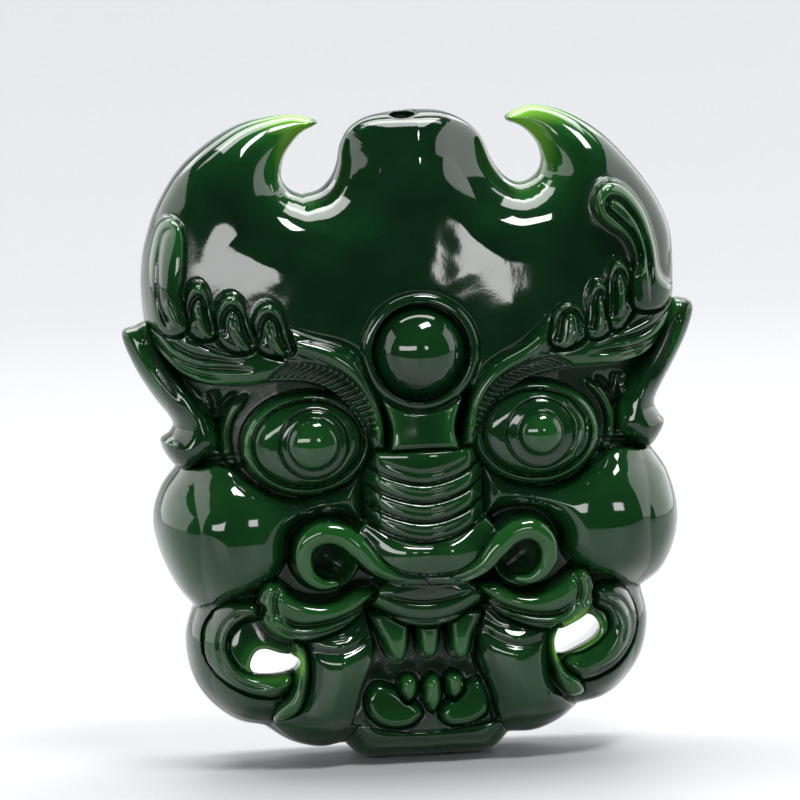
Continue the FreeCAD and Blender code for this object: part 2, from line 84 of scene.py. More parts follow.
def near(line, reach):
    """A window of the grid round a line, with the distance to it and the place along it there."""
    low, high = line.min(0) - reach, line.max(0) + reach
    i0, j0 = max(0, int((low[0] - XS[0]) / GRID)), max(0, int((low[1] - ZS[0]) / GRID))
    i1, j1 = int((high[0] - XS[0]) / GRID) + 2, int((high[1] - ZS[0]) / GRID) + 2
    window = (slice(i0, i1), slice(j0, j1))
    distance = np.full(X[window].shape, float(reach))
    along = np.zeros_like(distance)
    steps = np.diff(line, axis=0)
    lengths = np.hypot(*steps.T)
    starts = np.concatenate([[0.0], np.cumsum(lengths)])
    pad = int(reach / GRID) + 2
    for (x0, z0), (dx, dz), length, start in zip(line, steps, lengths, starts):
        if length < 1e-9:
            continue
        a0 = max(0, int((min(x0, x0 + dx) - XS[0]) / GRID) - i0 - pad)
        a1 = int((max(x0, x0 + dx) - XS[0]) / GRID) - i0 + pad
        b0 = max(0, int((min(z0, z0 + dz) - ZS[0]) / GRID) - j0 - pad)
        b1 = int((max(z0, z0 + dz) - ZS[0]) / GRID) - j0 + pad
        part = (slice(a0, a1), slice(b0, b1))
        wx, wz = X[window][part] - x0, Z[window][part] - z0
        t = np.clip((wx * dx + wz * dz) / length ** 2, 0.0, 1.0)
        d = np.hypot(wx - t * dx, wz - t * dz)
        closer = d < distance[part]
        distance[part] = np.where(closer, d, distance[part])
        along[part] = np.where(closer, start + t * length, along[part])
    return window, distance, along / starts[-1]


def signed(line, reach=2.5):
    """Distance to a closed line over the whole grid, positive inside, no more than reach."""
    inside = np.zeros(X.shape, bool)
    a, b = line[:-1], line[1:]
    first = max(0, int((line[:, 0].min() - XS[0]) / GRID))
    for i in range(first, min(len(XS), int((line[:, 0].max() - XS[0]) / GRID) + 2)):
        hit = (a[:, 0] <= XS[i]) != (b[:, 0] <= XS[i])
        slope = (b[hit, 1] - a[hit, 1]) / (b[hit, 0] - a[hit, 0])
        inside[i] = np.searchsorted(np.sort(a[hit, 1] + (XS[i] - a[hit, 0]) * slope), ZS) % 2 == 1
    window, distance, _ = near(line, reach)
    value = np.where(inside, reach, -reach).astype(float)
    value[window] = np.where(inside[window], distance, -distance)
    return value


def blur(field, sigma):
    """A gaussian blur, by way of the frequencies of the field and its mirror images."""
    pad = int(3 * sigma / GRID) + 1
    wide = np.pad(field, pad, mode="edge")
    fx = np.fft.fftfreq(wide.shape[0], GRID)[:, None]
    fz = np.fft.rfftfreq(wide.shape[1], GRID)[None, :]
    keep = np.exp(-2 * (math.pi * sigma) ** 2 * (fx ** 2 + fz ** 2))
    return np.fft.irfft2(np.fft.rfft2(wide) * keep, wide.shape)[pad:-pad, pad:-pad]


def spread(field, reach):
    """The largest value within a square of that reach."""
    out = field.copy()
    for axis in (0, 1):
        done = 1
        total = 2 * int(reach / GRID) + 1
        while done < total:
            shift = min(done, total - done)
            out = np.maximum(out, np.roll(out, shift, axis))
            done += shift
        out = np.roll(out, -(total // 2), axis)
    return out


def field_from(spots, power=3.0):
    """A smooth field that takes the given values at the given places and their mirror images."""
    total, weight = np.zeros(X.shape), np.zeros(X.shape)
    for x, z, value in spots:
        for side in ((1, -1) if x else (1,)):
            w = 1.0 / (((X - side * x) ** 2 + (Z - z) ** 2) + 1.0) ** (power / 2)
            total += w * value
            weight += w
    return total / weight


def uneven(seed, sigma):
    """Gentle random waves of unit strength, as hand polishing leaves."""
    field = blur(np.random.default_rng(seed).standard_normal(X.shape), sigma)
    return field / field.std()


def mirrored(points, side):
    if isinstance(points[0][0], (list, tuple)):
        return [mirrored(run, side) for run in points]
    return [(side * x, z) for x, z in points]


# ---- the relief ----------------------------------------------------------------------------------

# Front reach of the bare forehead dome, which the features are laid into.
height = 6.9 - 0.0050 * X ** 2 - 0.0052 * (Z - 36.0) ** 2
height += 0.030 * uneven(7, 2.0)
height = np.where(Z < 36, 3.4 + (height - 3.4) * smooth((Z - 33.0) / 3.0), height)
SOFT = 0.2       # width of the step at the edge of a shape
BAND_REACH = 2.2 # how far from its line a band is looked at
regions = []     # name, signed distance, voxel, whether the piece wraps the rim


def limit(mask):
    """1 inside a shape and 0 outside it, with a soft step between.  No shape is no limit."""
    return 1.0 if mask is None else smooth(mask / SOFT + 0.5)


def fade(s, ends):
    """A share that drops to 0 at both ends of a line, over the given shares of its length."""
    return smooth(s / ends[0]) * smooth((1 - s) / ends[1])


def even(s, values):
    """Values given at even steps of a line's length, at s along it."""
    return np.interp(s, np.linspace(0, 1, len(values)), values)


def pillow(shape, edge, top, radius):
    """Lay a rounded form over the relief within a shape."""
    global height
    m = limit(shape)
    form = edge + (top - edge) * arch(shape / radius)
    height = height * (1 - m) + form * m


def groove(points, width, depth, within=None, ends=(0.15, 0.15)):
    """Cut a groove that fades out over the given shares of its length at its ends."""
    line = points if isinstance(points, np.ndarray) else spline(points)
    window, d, s = near(line, 3.2 * width)
    cut = depth * fade(s, ends) * np.exp(-(d / width) ** 1.6)
    height[window] -= cut * (1.0 if within is None else limit(within)[window])


def bead(points, width, rise, within=None, ends=(0.2, 0.2)):
    """Raise a round ridge that thins towards its ends."""
    window, d, s = near(spline(points), 1.6 * width)
    size = np.sqrt(fade(s, ends))
    form = rise * size * np.clip(1 - (d / (width * (0.35 + 0.65 * size))) ** 2, 0, 1) ** 0.8
    height[window] += form * (1.0 if within is None else limit(within)[window])


def ribbon(line, half_widths, levels):
    """Lay a round band along a line.  Its half width and level are given at even steps."""
    window, d, s = near(line, BAND_REACH)
    wide = even(s, half_widths)
    form = even(s, levels) - wide * (1 - np.sqrt(np.clip(1 - (d / wide) ** 2, 0, 1)))
    m = limit(wide - d)
    height[window] = height[window] * (1 - m) + form * m


def region(name, points, voxel=0.12, rim=False, reach=2.5):
    """Make a shape a piece of its own.  It is given as a map, a closed line, or the line's stops."""
    if isinstance(points, np.ndarray) and points.shape == X.shape:
        shape = points
    else:
        has_corners = isinstance(points[0][0], (list, tuple))
        line = points if isinstance(points, np.ndarray) else spline(points, not has_corners)
        shape = signed(line, reach)
    regions.append({"name": name, "shape": shape, "voxel": voxel, "rim": rim})
    return shape


def side_name(name, side):
    return name + ("_right" if side > 0 else "_left")


def oval(x, z, half_width, half_height, tilt=0.0, count=40):
    turn = np.linspace(0, 2 * math.pi, count + 1)
    u, v = half_width * np.cos(turn), half_height * np.sin(turn)
    c, s = math.cos(math.radians(tilt)), math.sin(math.radians(tilt))
    return np.column_stack([x + u * c - v * s, z + u * s + v * c])


# ---- sockets and cheeks --------------------------------------------------------------------------

CHEEK = [[(22.2, 27.9), (23.7, 25.8), (24.6, 22.4), (24.2, 19.0), (22.8, 16.6), (20.9, 14.9)],
         [(20.9, 14.9), (18.6, 15.9), (16.4, 16.6), (14.2, 17.6), (12.9, 19.4), (12.5, 21.6), (10.6, 23.3),
          (7.6, 23.5), (5.6, 22.6)],
         [(5.6, 22.6), (5.5, 28.2)],
         [(5.5, 28.2), (7.2, 26.5), (9.2, 25.6), (11.6, 25.3), (14.0, 25.9), (16.2, 27.3), (18.4, 28.4),
          (22.2, 27.9)]]

for side in (-1, 1):
    socket = region(side_name("eye_socket", side), mirrored(
        [[(4.6, 28.4), (22.4, 28.0)], [(22.4, 28.0), (22.6, 32), (23.4, 36), (24.6, 40.5)],
         [(24.6, 40.5), (20, 38), (14, 37.6), (8, 36.5), (5.4, 33.5), (4.6, 28.4)]], side), rim=True)
    ground = 4.6 - 0.26 * np.clip(side * X - 13, 0, 12) - 0.04 * (Z - 31)
    pillow(socket, ground - 0.8, ground, 1.0)

for side in (-1, 1):
    cheek = region(side_name("cheek", side), mirrored(CHEEK, side), voxel=0.14, rim=True, reach=5.0)
    ball = 1 - ((side * X - 17.2) / 8.6) ** 2 - ((Z - 21.6) / 7.6) ** 2
    ball = 2.6 + 5.0 * np.sqrt(np.clip(ball, 0, 1))
    saddle = 5.9 - 0.10 * np.clip(side * X - 9, 0, 9)
    top = np.maximum(ball, saddle) + 0.35 * np.exp(-((ball - saddle) / 0.5) ** 2)
    pillow(cheek, np.minimum(top, 4.6), top, 2.2)

# ---- jaw lobes and chin --------------------------------------------------------------------------

chin = region("chin", [[(-8.0, 1.7), (-6.6, 0.4), (-5.6, -0.1)], [(-5.6, -0.1), (5.6, -0.1)],
                       [(5.6, -0.1), (6.6, 0.5), (8.3, 1.8)], [(8.3, 1.8), (6.6, 3.6)],
                       [(6.6, 3.6), (3, 3.3), (0, 3.1), (-3, 3.3), (-7.2, 4.0)], [(-7.2, 4.0), (-8.0, 1.7)]],
              voxel=0.14, rim=True, reach=4.0)
pillow(chin, 4.6 - 1.1 * smooth((2.6 - Z) / 2.4), 4.9, 2.6)

STEM_LINE = [(13.2, 13.6), (11.6, 11.7), (11.3, 9.1), (12.0, 6.4), (14.4, 3.9)]
OUTER = [[(20.9, 14.9), (21.6, 11.8), (20.9, 8.3), (18.9, 5.6), (16.9, 4.4), (14.4, 3.9)],
         STEM_LINE[::-1], [(13.2, 13.6), (15.2, 17.0), (18.4, 16.0), (20.9, 14.9)]]
INNER = [[(14.4, 3.9), (12.6, 2.4), (10.0, 1.5), (7.8, 1.7)], [(7.8, 1.7), (6.6, 3.7), (5.6, 6.6),
                                                               (4.6, 10.0),
         (4.8, 14.8)], [(4.8, 14.8), (9.0, 14.6), (13.2, 13.6)], STEM_LINE]
for side in (-1, 1):
    inner = region(side_name("inner_jaw_lobe", side), mirrored(INNER, side), voxel=0.12, rim=True, reach=4.0)
    top = 7.0 - 0.02 * (side * X - 9.0) ** 2 - 0.045 * (Z - 9.0) ** 2
    pillow(inner, 4.4, top, 4.0)
    for drop, deep in ((12.3, 0.25), (11.0, 0.42)):
        arc = [(4.9, drop + 1.5), (6.6, drop + 0.3), (8.8, drop - 0.2), (11.6, drop + 0.4)]
        groove(mirrored(arc, side), 0.4, deep, inner, (0.15, 0.35))
    outer = region(side_name("outer_jaw_lobe", side), mirrored(OUTER, side), voxel=0.12, rim=True, reach=4.0)
    top = 5.2 - 0.035 * (side * X - 16.5) ** 2 - 0.02 * (Z - 9) ** 2
    pillow(outer, 3.4, top, 2.6)

# ---- mouth, teeth and lips -----------------------------------------------------------------------

mouth = region("mouth_floor", [[(-5.6, 14.8), (-5.0, 10.7), (-6.2, 7.6), (-7.2, 4.0)],
                               [(-7.2, 4.0), (-3.6, 3.2), (-0.6, 2.9), (2.6, 3.1), (5.9, 3.9)],
                               [(5.9, 3.9), (4.9, 7.4), (4.1, 10.7), (4.7, 14.8)],
                               [(4.7, 14.8), (-5.6, 14.8)]])
pillow(mouth, 3.9 + 0.7 * smooth((6 - Z) / 2), 4.6 - 0.06 * (Z - 3) - 0.7 * smooth((Z - 7.5) / 2.5), 0.8)


TOOTH_EDGE = 3.7


def tooth(name, points, top, radius):
    pillow(region(name, points, voxel=0.1), TOOTH_EDGE, top, radius)


LOWER = {"lower_gum_left": [(-6.0, 6.4), (-5.6, 4.6), (-4.0, 3.5), (-1.9, 3.5), (-0.6, 4.4),
                            (-0.7, 5.4), (-2.0, 6.5), (-3.4, 7.5), (-5.0, 7.8)],
         "lower_gum_right": [(5.6, 6.2), (5.5, 4.5), (3.9, 3.5), (1.9, 3.4), (0.9, 4.3), (1.1, 5.4),
                             (2.3, 6.4), (3.6, 7.5), (4.8, 7.8)]}
for name, points in LOWER.items():
    tooth(name, points, 5.7 - 0.10 * (Z - 4.5), 0.8)
tooth("lower_side_tooth_left",
      [(-2.8, 8.1), (-2.9, 6.8), (-2.0, 5.7), (-1.0, 6.4), (-0.9, 8.0), (-1.8, 8.6)], 6.0, 0.9)
tooth("lower_side_tooth_right",
      [(1.4, 8.2), (1.5, 6.5), (2.4, 5.8), (3.3, 6.6), (3.3, 8.1), (2.4, 8.7)], 6.0, 0.9)
tooth("lower_front_tooth",
      [(-0.6, 7.8), (-0.7, 5.9), (0.3, 4.7), (1.2, 5.8), (1.2, 7.8), (0.4, 8.5)], 6.3, 0.9)
UPPER = {"upper_fang_left": [(-5.3, 14.4), (-4.4, 11.5), (-3.6, 9.9), (-2.5, 9.5), (-1.8, 10.4), (-1.5, 12.4),
                             (-1.6, 14.5)],
         "upper_fang_right": [(5.2, 14.3), (4.4, 11.9), (3.8, 9.9), (2.7, 9.5), (1.9, 10.3), (1.7, 12.4),
                              (1.8, 14.5)],
         "upper_front_tooth": [(-1.1, 14.4), (-1.1, 11.0), (-0.6, 9.9), (0.1, 9.7), (0.7, 9.9), (1.2, 11.0),
                               (1.3, 14.4)]}
for name, points in UPPER.items():
    tooth(name, points, 6.7 - 0.06 * (Z - 11) ** 2 / 4, 0.95)

lip = region("upper_lip", [[(-6.2, 15.9), (-4.4, 14.6), (-2.4, 13.3), (0, 12.8), (2.2, 13.2),
                            (4.0, 14.3), (5.8, 15.7)],
                           [(5.8, 15.7), (3.4, 17.6), (0, 18.2), (-3.4, 17.6), (-6.2, 15.9)]])
pillow(lip, 5.6, 7.3, 1.5)
for drop, deep in ((16.2, 0.4), (14.5, 0.35)):
    groove([(-5.2, drop + 0.3), (-2.6, drop - 0.55), (-0.2, drop - 0.9), (2.4, drop - 0.6),
            (4.8, drop + 0.2)], 0.2, deep, lip, (0.2, 0.2))

ROLL = [(4.6, 16.6), (5.6, 14.8), (7.4, 13.2), (9.8, 12.2), (12.2, 11.9), (14.2, 12.6), (15.5, 14.2),
        (15.6, 16.4), (14.8, 17.8), (13.4, 17.4), (12.2, 16.4), (10.4, 15.8), (8.4, 15.9), (6.4, 16.9)]
for side in (-1, 1):
    roll = region(side_name("lip_roll", side), mirrored(ROLL, side), voxel=0.1)
    pillow(roll, 4.9, 7.0, 1.1)
    groove(mirrored([(4.9, 15.7), (7.0, 14.5), (9.6, 13.7), (12.2, 13.7),
                     (13.8, 14.9)], side), 0.26, 0.8, roll,
           (0.05, 0.2))
    groove(mirrored([(7.0, 13.8), (9.6, 12.9), (12.2, 12.8), (14.2, 13.7)], side), 0.2, 0.35, roll)
    groove(mirrored([(13.6, 17.3), (14.1, 16.0), (13.9, 14.4)], side), 0.22, 0.55, roll)
    groove(mirrored([(14.7, 17.0), (15.0, 15.6), (14.5, 14.0)], side), 0.18, 0.35, roll)

# ---- nose ----------------------------------------------------------------------------------------

LOWS = (26.3, 24.6, 22.8, 21.0)
SAG = 2.0


def brow_arc(low, sag=SAG, half=5.6):
    return [(-half, low + sag), (-0.55 * half, low + 0.32 * sag), (0, low), (0.55 * half, low + 0.32 * sag),
            (half, low + sag)]


nose_round = 0.045 * X ** 2 + 1.3 * smooth((np.abs(X) - 4.0) / 1.7)
over = [(-5.6, 29.4), (0, 29.4), (5.6, 29.4)]
names = ("nose_bridge", "nose_wrinkle_1", "nose_wrinkle_2", "nose_wrinkle_3")
for name, low in zip(names, LOWS):
    under = brow_arc(low)
    roll = region(name, [over, [over[-1], under[-1]], under[::-1], [under[0], over[0]]], voxel=0.1)
    pillow(roll, 7.9 - nose_round, (8.2 if name == "nose_bridge" else 8.5) - nose_round, 0.8)
    over = under
for low in (27.3, 25.5, 23.7, 21.9):
    groove(brow_arc(low, 1.5, 4.4), 0.16, 0.13, None, (0.3, 0.3))

TIP = [brow_arc(LOWS[-1]), [(5.6, 23.0), (6.6, 21.6), (6.0, 19.0), (3.2, 17.4)],
       [(3.2, 17.4), (0.2, 16.9), (-3.1, 17.4)],
       [(-3.1, 17.4), (-6.0, 19.2), (-6.4, 21.8), (-5.6, 23.0)]]
tip = region("nose_tip", TIP, voxel=0.1)
lobes = sum(np.exp(-((X - x) / 2.3) ** 2 - ((Z - 19.8) / 1.9) ** 2) for x in (-2.2, 2.5))
pillow(tip, 7.6 - 0.02 * X ** 2, 8.3 - 0.03 * X ** 2 + 0.8 * lobes, 0.9)

saddle = region("nose_saddle", [[(-3.2, 29.3), (-3.0, 31.5), (-3.8, 34.2)], [(-3.8, 34.2), (3.9, 34.2)],
                                [(3.9, 34.2), (3.1, 31.5), (3.4, 29.3)], [(3.4, 29.3), (-3.2, 29.3)]])
pillow(saddle, 6.6, 7.9 - 0.10 * (Z - 29.3) + 0.03 * X ** 2, 0.7)

RIBBON = {-1: [(-0.1, 17.5), (-2.6, 17.8), (-4.6, 18.8), (-6.1, 20.5), (-7.6, 21.8), (-9.4, 22.2),
               (-10.9, 21.4), (-11.4, 19.9), (-10.9, 18.3), (-9.7, 17.4), (-8.4, 17.4)],
          1: [(0.3, 17.5), (2.8, 17.6), (4.9, 18.5), (6.4, 20.1), (7.9, 21.4), (9.6, 21.7), (10.9, 20.8),
              (11.3, 19.3), (10.7, 17.8), (9.5, 17.0), (8.3, 17.1)]}
PIT = {-1: (-9.0, 19.7), 1: (9.0, 19.2)}
SCROLL_WIDTHS = (0.5, 0.75, 1.05, 1.1, 0.85, 0.35)
SCROLL_LEVELS = (8.0, 8.5, 8.75, 8.5, 7.9, 7.2)
for side in (-1, 1):
    px, pz = PIT[side]
    disc = signed(oval(px + side * 0.1, pz + 0.1, 3.1, 3.1), 2.5)
    line = spline(RIBBON[side])
    window, d, s = near(line, BAND_REACH)
    band = np.full(X.shape, -BAND_REACH)
    band[window] = even(s, SCROLL_WIDTHS) - d
    scroll = region(side_name("nostril_scroll", side), np.maximum(disc, band), voxel=0.1)
    away = np.hypot(X - px, Z - pz)
    trail = np.hypot(X - px + side * 1.4, Z - pz + 1.1)
    bowl = 6.4 - (2.6 if side < 0 else 1.7) * np.exp(-(away / 1.3) ** 2) - 1.4 * np.exp(-(trail / 0.9) ** 2)
    pillow(disc, bowl, bowl, 1.0)
    ribbon(line, SCROLL_WIDTHS, SCROLL_LEVELS)
    groove(mirrored([(2.0, 17.3), (3.6, 17.6), (5.4, 18.6)], side), 0.18, 0.3, scroll)

# ---- eyes ----------------------------------------------------------------------------------------

EYE = {-1: (-10.0, 30.3), 1: (10.9, 30.4)}
for side in (-1, 1):
    ex, ez = EYE[side]
    lid_x = ex - (0.35 if side > 0 else 0.5)
    lid = region(side_name("eye_rim", side), oval(lid_x, ez, 6.1, 4.9, -3 * side), voxel=0.1)
    pillow(lid, 4.6, 6.6 - 0.09 * np.clip(side * X - 12, 0, 9), 0.85)
    ball = region(side_name("eyeball", side), oval(lid_x, ez, 5.2, 4.1, -3 * side), voxel=0.1)
    swell = 7.4 - 0.034 * (X - ex) ** 2 - 0.035 * (Z - ez) ** 2
    pillow(ball, 5.4, swell, 1.6)
    for away in ((3.55, 4.3) if side > 0 else ()):
        groove([(ex + away - 1.2, ez - 2.4), (ex + away - 0.1, ez - 0.6), (ex + away - 0.1, ez + 1.2),
                (ex + away - 1.4, ez + 2.8)], 0.16, 0.4, ball)
    iris = region(side_name("iris", side), oval(ex, ez, 3.2, 3.2), voxel=0.1)
    centre = np.hypot(X - ex, Z - ez)
    pupil = 2.45 if side < 0 else 2.1
    pillow(iris, 6.35, 7.05 - 0.30 * np.clip(centre - pupil, 0, 2), 0.35)
    m = limit(pupil - centre)
    bulge = 6.75 + 1.55 * np.sqrt(np.clip(1 - (centre / (pupil + 0.02)) ** 2, 0, 1))
    height = height * (1 - m) + bulge * m
    groove(mirrored([(16.6, 29.4), (18.6, 29.0), (21.6, 28.7)], side), 0.3, 0.7)
    bead(mirrored([(16.9, 27.9), (17.7, 29.6), (17.8, 31.6), (17.1, 33.4), (15.6, 34.9)], side), 0.62, 0.9)
    groove(mirrored([(18.3, 29.4), (18.6, 31.6), (17.9, 33.8), (16.4, 35.3)], side), 0.28, 0.9)
    groove(mirrored([(18.9, 35.4), (18.5, 33.9), (18.9, 32.4)], side), 0.5, 0.9)

# ---- brows and curls -----------------------------------------------------------------------------

BROW = {
    -1: [[(-4.6, 29.4), (-5.4, 31.5), (-7.1, 34.0), (-9.6, 35.7), (-13.0, 36.1), (-16.0, 35.8), (-19.0, 36.0),
          (-21.4, 36.8), (-23.2, 38.5), (-24.9, 40.8)],
         [(-24.9, 40.8), (-25.0, 43.0)],
         [(-25.0, 43.0), (-22.0, 43.2), (-18.0, 41.0), (-15.0, 40.6), (-12.2, 41.2), (-9.2, 40.2),
          (-6.6, 39.3), (-5.0, 37.9), (-4.4, 35.2), (-3.6, 32.9), (-3.2, 29.4)],
         [(-3.2, 29.4), (-4.6, 29.4)]],
    1: [[(4.8, 29.4), (5.7, 31.5), (7.5, 33.8), (9.9, 35.4), (13.0, 36.1), (16.2, 36.2), (19.0, 36.4),
         (21.4, 37.0), (23.2, 38.6), (25.0, 40.6)],
        [(25.0, 40.6), (25.2, 43.0)],
        [(25.2, 43.0), (22.4, 43.4), (18.4, 41.2), (15.2, 40.4), (12.6, 41.4), (9.6, 38.9), (7.4, 37.7),
         (5.6, 36.2), (4.4, 33.6), (3.5, 29.4)],
        [(3.5, 29.4), (4.8, 29.4)]]}
RIDGE = {-1: [(-3.7, 30.2), (-4.1, 33.0), (-5.2, 35.6), (-7.0, 37.6), (-9.4, 38.9), (-12.2, 39.6)],
         1: [(4.0, 30.2), (4.6, 33.0), (5.9, 35.4), (7.6, 36.9), (9.8, 38.0), (12.2, 39.4)]}
HAIR_TOP = {-1: [(-4.2, 31.0), (-4.5, 33.0), (-5.5, 35.0), (-7.0, 36.5), (-9.3, 37.5), (-12.0, 38.0)],
            1: [(4.7, 31.0), (5.2, 33.0), (6.3, 34.8), (7.8, 36.0), (9.6, 36.8), (12.0, 37.6)]}
HAIR_FOOT = {-1: [(-4.8, 30.2), (-5.5, 31.8), (-7.2, 34.2), (-9.6, 35.9), (-12.2, 36.3), (-14.6, 36.3)],
             1: [(5.0, 30.2), (5.9, 31.7), (7.7, 33.9), (10.0, 35.6), (12.4, 36.2), (14.8, 36.5)]}
for side in (-1, 1):
    brow = region(side_name("brow", side), BROW[side], voxel=0.1, rim=True)
    fall = 0.07 * np.clip(np.abs(X) - 11, 0, 20) ** 1.2
    pillow(brow, 5.9 - fall, 7.3 - fall, 1.3)
    bead(RIDGE[side], 0.85, 0.55, brow, (0.1, 0.35))
    top, foot = spline(HAIR_TOP[side], step=0.05), spline(HAIR_FOOT[side], step=0.05)
    for k in range(20):
        share = (k + 0.5) / 20
        a = top[int(share * (len(top) - 1))]
        b = foot[min(len(foot) - 1, int((share * 0.94 + 0.03) * (len(foot) - 1)))]
        bend = np.array([side * 0.12, 0.10])
        stroke = spline([tuple(a), tuple((a + b) / 2 + bend), tuple(b)], step=0.15)
        groove(stroke, 0.15, 0.6, brow, (0.12, 0.2))
    groove(HAIR_TOP[side], 0.16, 0.3, brow)

FLAMES = {
    -1: [[(-24.5, 41.2), (-22.8, 38.9), (-20.2, 37.7), (-17.4, 37.5), (-14.8, 37.3)],
         [(-24.6, 42.2), (-22.8, 40.2), (-20.6, 38.8), (-18.0, 38.3), (-15.6, 38.0)],
         [(-23.8, 39.8), (-22.0, 37.9), (-19.6, 36.9), (-17.4, 36.7)],
         [(-21.8, 40.6), (-19.8, 39.8), (-18.0, 39.0), (-16.2, 38.5)],
         [(-15.6, 39.9), (-14.2, 38.9), (-12.4, 38.2), (-10.6, 38.0)]],
    1: [[(24.7, 41.2), (23.0, 38.9), (20.4, 37.8), (17.6, 37.6), (15.0, 37.3)],
        [(24.8, 42.2), (23.0, 40.2), (20.8, 39.0), (18.2, 38.5), (15.8, 38.0)],
        [(24.0, 39.8), (22.2, 38.0), (19.8, 37.1), (17.6, 36.9)],
        [(22.0, 40.6), (20.0, 39.8), (18.2, 39.2), (16.4, 38.7)],
        [(15.4, 39.6), (14.4, 38.6), (12.8, 38.0), (11.0, 37.8)]]}
for side in (-1, 1):
    for line in FLAMES[side]:
        groove(line, 0.22, 0.6, None, (0.15, 0.3))

# Each curl: its outline, the groove inside its rim, and the leaf in the middle with its tail.
CURLS = {
    "brow_curl_1_left": ([(-11.4, 38.9), (-12.0, 41.2), (-12.6, 42.8), (-13.6, 43.5), (-14.7, 43.0),
                          (-15.4, 41.6), (-15.5, 40.0), (-14.6, 38.8), (-13.0, 38.3)],
                         [(-14.6, 39.6), (-14.5, 41.2), (-13.8, 42.2), (-13.0, 41.6), (-12.6, 40.0),
                          (-11.9, 38.6)],
                         [(-13.8, 41.4), (-13.5, 40.0), (-12.6, 38.6), (-11.6, 37.9)]),
    "brow_curl_2_left": ([(-14.7, 39.6), (-15.4, 42.0), (-15.9, 43.6), (-16.9, 44.4), (-18.0, 43.9),
                          (-18.8, 42.2), (-18.9, 40.8), (-18.0, 39.4), (-16.2, 38.7)],
                         [(-17.9, 40.4), (-17.9, 42.0), (-17.1, 43.1), (-16.3, 42.4), (-15.9, 40.8),
                          (-15.1, 39.2)],
                         [(-17.1, 42.2), (-16.8, 40.7), (-15.9, 39.3), (-14.9, 38.6)]),
    "brow_curl_3_left": ([(-18.3, 40.6), (-18.7, 43.0), (-19.1, 44.7), (-19.9, 45.5), (-20.9, 44.9),
                          (-21.4, 43.2), (-21.5, 41.8), (-20.8, 40.5), (-19.5, 39.9)],
                         [(-20.7, 41.4), (-20.7, 43.2), (-20.0, 44.2), (-19.5, 43.4), (-19.3, 41.8),
                          (-18.8, 40.4)],
                         [(-20.1, 43.2), (-19.9, 41.9), (-19.3, 40.8), (-18.6, 39.9)]),
    "brow_curl_4_left": ([(-20.9, 41.0), (-21.3, 44.4), (-21.0, 46.8), (-20.9, 49.4), (-21.3, 50.8),
                          (-22.3, 51.3), (-23.4, 50.3), (-24.3, 47.6), (-25.0, 44.4), (-24.9, 42.0),
                          (-22.9, 40.4)],
                         [(-21.6, 50.4), (-22.7, 49.9), (-23.3, 47.6), (-23.5, 45.0), (-23.3, 43.0),
                          (-22.6, 41.0)],
                         [(-22.9, 43.9), (-22.6, 42.8), (-22.0, 41.4)]),
    "brow_curl_1_right": ([(11.8, 38.7), (12.1, 40.4), (12.8, 41.9), (14.0, 42.4), (15.2, 41.8), (15.8, 40.2),
                           (15.5, 38.8), (14.2, 38.0), (12.8, 37.9)],
                          [(15.0, 39.2), (15.0, 40.6), (14.2, 41.5), (13.3, 41.0), (13.0, 39.6),
                           (12.6, 38.4)],
                          [(14.3, 40.7), (14.3, 39.4), (13.7, 38.3), (12.8, 37.6)]),
    "brow_curl_2_right": ([(15.4, 39.2), (15.6, 41.4), (15.9, 43.2), (16.8, 44.2), (17.8, 43.4), (18.0, 41.6),
                           (18.2, 39.8), (17.2, 38.8), (16.1, 38.6)],
                          [(17.5, 40.2), (17.4, 42.0), (16.9, 43.1), (16.4, 42.2), (16.3, 40.6),
                           (15.9, 39.2)],
                          [(16.9, 42.2), (16.9, 40.8), (16.5, 39.4)]),
    "brow_curl_3_right": ([(17.6, 39.8), (17.5, 42.4), (17.8, 44.8), (18.7, 46.1), (19.8, 45.2), (20.3, 43.2),
                           (20.4, 41.4), (19.6, 40.0), (18.6, 39.3)],
                          [(19.7, 41.4), (19.6, 43.4), (18.9, 44.9), (18.3, 44.0), (18.2, 42.2),
                           (18.0, 40.2)],
                          [(18.9, 43.6), (18.9, 42.0), (18.6, 40.6)]),
    "brow_curl_4_right": ([(20.0, 41.2), (19.8, 44.0), (20.2, 45.4), (20.0, 46.8), (19.2, 48.0), (18.0, 48.8),
                           (17.0, 49.9), (16.7, 51.2), (17.2, 52.5), (18.3, 53.1), (20.0, 52.4), (21.6, 50.2),
                           (22.5, 47.2), (23.0, 44.2), (24.9, 42.4), (22.6, 40.8)],
                          [(21.8, 43.4), (21.6, 46.4), (20.8, 49.2), (19.4, 51.2), (18.2, 51.6), (17.9, 50.6),
                           (18.9, 49.6), (20.2, 48.2), (20.9, 46.4), (20.8, 44.2)],
                          [(19.4, 50.6), (20.6, 48.9), (21.3, 46.6), (21.3, 43.4), (21.6, 41.4)])}
for name, (rim_line, cut_line, leaf_line) in CURLS.items():
    curl = region(name, rim_line, voxel=0.1, rim=name.startswith("brow_curl_4"))
    fall = 0.055 * np.clip(np.abs(X) - 13, 0, 20) ** 1.25
    root = 0.5 * smooth((41.0 - Z) / 2.5)
    pillow(curl, 5.3 - fall + root, 6.95 - fall + 0.3 * root, 0.85)
    groove(cut_line, 0.24, 0.85, curl, (0.12, 0.12))
    bead(leaf_line, 0.38, 0.35, curl, (0.3, 0.3))

# ---- tusks ---------------------------------------------------------------------------------------

